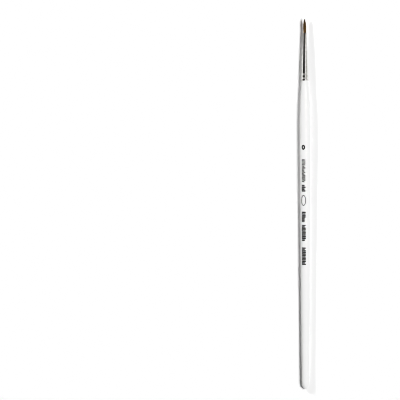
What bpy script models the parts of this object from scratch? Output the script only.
"""Fine detail brush, a round size 0, lying on its side as it does on a bench.

Metres, +Z up. The origin is under the middle of the brush, on the surface that it rests on, and the
hair points along +Y. Each piece is turned about its own Z, measured from the butt of the handle, and
hangs on one empty that lays the brush down.
"""

import math

import bmesh
import bpy

MM = 0.001

# Lengths along the brush
HANDLE_OUT = 154.0 * MM  # butt to the ferrule's wide end
FERRULE_LENGTH = 23.8 * MM
HAIR_OUT = 7.2 * MM  # ferrule's mouth to the tip
POINT_LENGTH = 4.7 * MM  # the part of the hair that draws to a point
TENON_LENGTH = 7.5 * MM  # handle inside the ferrule
CRIMPED_LENGTH = 4.6 * MM  # tenon that the crimps hold; glue covers the rest
ROOT_LENGTH = 7.5 * MM  # hair inside the ferrule
CEMENT_LENGTH = 1.6 * MM

# Handle
BUTT_RADIUS = 1.87 * MM
BUTT_DOME = 4.0 * MM
BUTT_FLAT_RADIUS = 0.25 * MM
BELLY_RADIUS = 2.55 * MM
BELLY_BACK = 30.0 * MM  # ferrule's wide end to where the straight taper starts
SHOULDER_SLOPE = 0.075  # how fast the handle swells as it leaves the ferrule
SHOULDER_STEPS = 8
DOME_STEPS = 6

# Ferrule
FERRULE_WIDE_RADIUS = 1.825 * MM
FERRULE_MOUTH_RADIUS = 0.9 * MM
FERRULE_WALL = 0.18 * MM
FERRULE_EDGE = 0.05 * MM
CRIMPS = (1.25 * MM, 3.15 * MM)  # ferrule's wide end to the middle of each rolled groove
CRIMP_WIDTH = 0.9 * MM
CRIMP_DEPTH = 0.11 * MM

# Hair, thread and fillings
TIP_RADIUS = 0.03 * MM
POINT_POWER = 0.6  # of the sine that the point follows; under 1 the point is full
OGIVE_STEPS = 9
BALL_STEPS = 5
THREAD_DIAMETER = 0.16 * MM
THREAD_GAP = 0.03 * MM
THREAD_TURNS = 5
THREAD_STEPS = 24  # points in a turn
THREAD_BEHIND = 4.6 * MM  # ferrule's mouth to the middle of the winding
GLUE_END = 0.4 * MM
GLUE_FILM = 0.12 * MM
FIT = 0.03 * MM  # clearance between neighbours

# Bending: the free hair turns about a point a little ahead of the mouth, where a springy cantilever's
# straight stand-in has its pivot.
PIVOT_SHARE = 0.15
SWING = math.radians(35)

SIDES = 24  # every turned piece, all with a flat facet down
HALF_SIDE = math.pi / SIDES

FERRULE_BACK = HANDLE_OUT
MOUTH = HANDLE_OUT + FERRULE_LENGTH
TIP = MOUTH + HAIR_OUT
TENON_END = FERRULE_BACK + TENON_LENGTH
ROOT_BACK = MOUTH - ROOT_LENGTH
PIVOT = MOUTH + PIVOT_SHARE * HAIR_OUT
HAIR_RADIUS = FERRULE_MOUTH_RADIUS - FERRULE_WALL - FIT
TAPER_END = HANDLE_OUT - BELLY_BACK


def clear_scene():
    for item in list(bpy.data.objects):
        bpy.data.objects.remove(item, do_unlink=True)


def new_material(name, colour, roughness, metallic=0.0):
    material = bpy.data.materials.new(name)
    material.use_nodes = True
    shader = material.node_tree.nodes["Principled BSDF"]
    shader.inputs["Base Color"].default_value = (*colour, 1.0)
    shader.inputs["Roughness"].default_value = roughness
    shader.inputs["Metallic"].default_value = metallic
    return material


def add_piece(name, data, material, collection, stand):
    """An object in the brush's collection, hung on the empty that lays the brush down."""
    piece = bpy.data.objects.new(name, data)
    data.materials.append(material)
    collection.objects.link(piece)
    piece.parent = stand
    return piece


def add_turned(name, profile, material, collection, stand, closed=False, base=0.0):
    """A turned piece. profile is (radius, height) down the outer side; closed joins its two ends."""
    mesh = bpy.data.meshes.new(name)
    form = bmesh.new()
    points = [form.verts.new((radius, 0, height - base)) for radius, height in profile]
    for start, end in zip(points, points[1:]):
        form.edges.new((start, end))
    if closed:
        form.edges.new((points[-1], points[0]))
    form.to_mesh(mesh)
    form.free()
    piece = add_piece(name, mesh, material, collection, stand)
    piece.location = (0, 0, base)
    piece.rotation_euler = (0, 0, HALF_SIDE)
    screw = piece.modifiers.new("Turn", "SCREW")
    screw.steps = SIDES
    screw.render_steps = SIDES
    screw.use_merge_vertices = True
    screw.merge_threshold = 1e-6
    screw.use_smooth_shade = True
    return piece


def crimp(height):
    """How far the two rolled grooves press the ferrule's wall in at this height."""
    depth = 0.0
    for middle in CRIMPS:
        off = abs(height - FERRULE_BACK - middle)
        if off < CRIMP_WIDTH / 2:
            depth += CRIMP_DEPTH * math.cos(math.pi * off / CRIMP_WIDTH) ** 2
    return depth


def ferrule_radius(height):
    """Outside of the ferrule: a straight cone with two rolled grooves near its wide end."""
    share = (height - FERRULE_BACK) / FERRULE_LENGTH
    cone = FERRULE_WIDE_RADIUS + share * (FERRULE_MOUTH_RADIUS - FERRULE_WIDE_RADIUS)
    return cone - crimp(height)


def bore_radius(height):
    return ferrule_radius(height) - FERRULE_WALL


def crimp_heights(downwards=True):
    """The heights that the two grooves need in a profile."""
    heights = [
        FERRULE_BACK + middle + share * CRIMP_WIDTH
        for middle in CRIMPS
        for share in (-0.5, -0.25, 0.0, 0.25, 0.5)
    ]
    return sorted(heights, reverse=downwards)


def hermite(share, start, end, start_slope, end_slope):
    """Cubic from start to end as share goes from 0 to 1."""
    square, cube = share**2, share**3
    return (
        (1 - 3 * square + 2 * cube) * start
        + (share - 2 * square + cube) * start_slope
        + (3 * square - 2 * cube) * end
        + (cube - square) * end_slope
    )


def taper_slope():
    """Radius gained a metre along the handle's straight taper."""
    return (BELLY_RADIUS - BUTT_RADIUS) / (TAPER_END - BUTT_DOME)


def tenon_profile():
    """The handle inside the ferrule, from its front end down to the ferrule's edge."""
    crimped_end = FERRULE_BACK + CRIMPED_LENGTH
    glue = 2 * FIT + GLUE_FILM
    profile = [
        (0.0, TENON_END),
        (bore_radius(TENON_END) - glue - FERRULE_EDGE, TENON_END),
        (bore_radius(TENON_END) - glue, TENON_END - FERRULE_EDGE),
        (bore_radius(crimped_end) - glue, crimped_end),
        (bore_radius(crimped_end) - FIT, crimped_end),
    ]
    profile += [(bore_radius(height) - FIT, height) for height in crimp_heights()]
    return profile + [(bore_radius(FERRULE_BACK) - FIT, FERRULE_BACK)]


def shoulder_profile():
    """The swell from the ferrule's edge to the belly, where it runs into the straight taper."""
    start = bore_radius(FERRULE_BACK) - FIT
    profile = []
    for step in range(1, SHOULDER_STEPS + 1):
        share = step / SHOULDER_STEPS
        radius = hermite(
            share, start, BELLY_RADIUS, SHOULDER_SLOPE * BELLY_BACK, -taper_slope() * BELLY_BACK
        )
        profile.append((radius, FERRULE_BACK - share * BELLY_BACK))
    return profile


def butt_profile():
    """Half an ellipse that closes the handle's back end, with a small flat where it is parted off."""
    profile = []
    for step in range(DOME_STEPS):
        angle = math.pi / 2 * step / DOME_STEPS
        profile.append((BUTT_RADIUS * math.cos(angle), BUTT_DOME * (1 - math.sin(angle))))
    return profile + [(BUTT_FLAT_RADIUS, 0.0), (0.0, 0.0)]


def make_handle(material, collection, stand):
    """Turned wood, lacquered: tenon, shoulder, belly, long straight taper and domed butt."""
    profile = tenon_profile() + shoulder_profile() + butt_profile()
    add_turned("handle", profile, material, collection, stand)


def make_ferrule(material, collection, stand):
    """Seamless drawn cone, crimped onto the handle in two rings."""
    edge_mouth = MOUTH - FERRULE_EDGE
    edge_back = FERRULE_BACK + FERRULE_EDGE
    outside = [(ferrule_radius(MOUTH) - FERRULE_EDGE, MOUTH), (ferrule_radius(edge_mouth), edge_mouth)]
    outside += [(ferrule_radius(height), height) for height in crimp_heights()]
    outside += [
        (ferrule_radius(edge_back), edge_back),
        (ferrule_radius(FERRULE_BACK) - FERRULE_EDGE, FERRULE_BACK),
    ]
    inside = [(bore_radius(FERRULE_BACK), FERRULE_BACK)]
    inside += [(bore_radius(height), height) for height in crimp_heights(downwards=False)]
    inside += [(bore_radius(MOUTH), MOUTH)]
    add_turned("ferrule", outside + inside, material, collection, stand, closed=True)


def make_handle_glue(material, collection, stand):
    """A thimble of set glue round the front of the tenon."""
    back = FERRULE_BACK + CRIMPED_LENGTH + FIT
    front = TENON_END + FIT + GLUE_END
    inner_front = TENON_END + FIT
    profile = [
        (0.0, front),
        (bore_radius(front) - FIT, front),
        (bore_radius(back) - FIT, back),
        (bore_radius(back) - FIT - GLUE_FILM, back),
        (bore_radius(inner_front) - FIT - GLUE_FILM, inner_front),
        (0.0, inner_front),
    ]
    add_turned("handle_glue", profile, material, collection, stand)


def make_root_cement(material, collection, stand):
    """The set cement that locks the hair's back ends together."""
    front = ROOT_BACK - FIT
    back = front - CEMENT_LENGTH
    profile = [
        (0.0, front),
        (bore_radius(front) - FIT, front),
        (bore_radius(back) - FIT, back),
        (0.0, back),
    ]
    add_turned("root_cement", profile, material, collection, stand)


def winding():
    """Half length, centreline radius and middle height of the thread's winding."""
    half = (THREAD_TURNS * (THREAD_DIAMETER + THREAD_GAP) + THREAD_DIAMETER) / 2
    middle = MOUTH - THREAD_BEHIND
    outer = bore_radius(middle + half) * math.cos(HALF_SIDE) - FIT
    return half, outer - THREAD_DIAMETER / 2, middle


def make_hair_roots(material, collection, stand):
    """The bound hair in the ferrule: necked in under the thread, and cupped in front of the mouth for
    the free hair to bend in."""
    half, thread_radius, middle = winding()
    neck = thread_radius - THREAD_DIAMETER / 2 - FIT
    neck_front = middle + half + FIT
    neck_back = middle - half - FIT
    cup = HAIR_RADIUS + FIT
    cup_depth = HAIR_RADIUS * math.sin(SWING) + FIT
    profile = []
    for step in range(BALL_STEPS + 1):
        angle = math.acos(cup_depth / cup) * step / BALL_STEPS
        profile.append((cup * math.sin(angle), PIVOT - cup * math.cos(angle)))
    profile += [
        (HAIR_RADIUS, PIVOT - cup_depth),
        (HAIR_RADIUS, MOUTH),
        (bore_radius(neck_front) - FIT, neck_front),
        (neck, neck_front),
        (neck, neck_back),
        (bore_radius(neck_back) - FIT, neck_back),
        (bore_radius(ROOT_BACK) - FIT, ROOT_BACK),
        (0.0, ROOT_BACK),
    ]
    add_turned("hair_roots", profile, material, collection, stand)


def make_binding_thread(material, collection, stand):
    """Thread wound round the hair before it goes into the ferrule."""
    half, radius, middle = winding()
    curve = bpy.data.curves.new("binding_thread", "CURVE")
    curve.dimensions = "3D"
    curve.bevel_depth = THREAD_DIAMETER / 2
    curve.bevel_resolution = 2
    curve.use_fill_caps = True
    count = THREAD_TURNS * THREAD_STEPS + 1
    spline = curve.splines.new("POLY")
    spline.points.add(count - 1)
    length = 2 * half - THREAD_DIAMETER
    for index, point in enumerate(spline.points):
        angle = 2 * math.pi * index / THREAD_STEPS
        height = length * (index / (count - 1) - 0.5)
        point.co = (radius * math.cos(angle), radius * math.sin(angle), height, 1)
    piece = add_piece("binding_thread", curve, material, collection, stand)
    piece.location = (0, 0, middle)


def make_hair_tuft(material, collection, stand):
    """The free hair: a full ogive to the point, straight behind it, and a ball round the pivot."""
    profile = [(0.0, TIP), (TIP_RADIUS, TIP)]
    for step in range(1, OGIVE_STEPS + 1):
        share = step / OGIVE_STEPS
        radius = TIP_RADIUS + (HAIR_RADIUS - TIP_RADIUS) * math.sin(math.pi / 2 * share) ** POINT_POWER
        profile.append((radius, TIP - share * POINT_LENGTH))
    for step in range(BALL_STEPS + 1):
        angle = math.pi / 2 * step / BALL_STEPS
        profile.append((HAIR_RADIUS * math.cos(angle), PIVOT - HAIR_RADIUS * math.sin(angle)))
    profile[-1] = (0.0, PIVOT - HAIR_RADIUS)
    add_turned("hair_tuft", profile, material, collection, stand, base=PIVOT)


def add_stand(collection):
    """The empty that lays the brush down, on the facet of its straight taper that faces the bench."""
    slope = taper_slope() * math.cos(HALF_SIDE)
    tilt = math.atan(slope)
    facet_at_butt = BUTT_RADIUS * math.cos(HALF_SIDE) - slope * BUTT_DOME
    stand = bpy.data.objects.new("stand", None)
    stand.location = (0, -TIP * math.cos(tilt) / 2, facet_at_butt * math.cos(tilt))
    stand.rotation_euler = (tilt - math.pi / 2, 0, 0)
    collection.objects.link(stand)
    return stand


def main():
    clear_scene()
    collection = bpy.data.collections.new("fine_detail_brush")
    bpy.context.scene.collection.children.link(collection)
    stand = add_stand(collection)
    lacquer = new_material("lacquer", (0.86, 0.86, 0.85), 0.18)
    nickel = new_material("nickel", (0.72, 0.71, 0.69), 0.16, metallic=1.0)
    hair = new_material("hair", (0.22, 0.09, 0.02), 0.45)
    root_hair = new_material("root_hair", (0.13, 0.06, 0.02), 0.6)
    cement = new_material("cement", (0.55, 0.38, 0.12), 0.3)
    glue = new_material("glue", (0.75, 0.68, 0.5), 0.4)
    thread = new_material("thread", (0.7, 0.66, 0.58), 0.8)
    make_handle(lacquer, collection, stand)
    make_ferrule(nickel, collection, stand)
    make_handle_glue(glue, collection, stand)
    make_root_cement(cement, collection, stand)
    make_hair_roots(root_hair, collection, stand)
    make_binding_thread(thread, collection, stand)
    make_hair_tuft(hair, collection, stand)
    bpy.context.view_layer.update()


main()
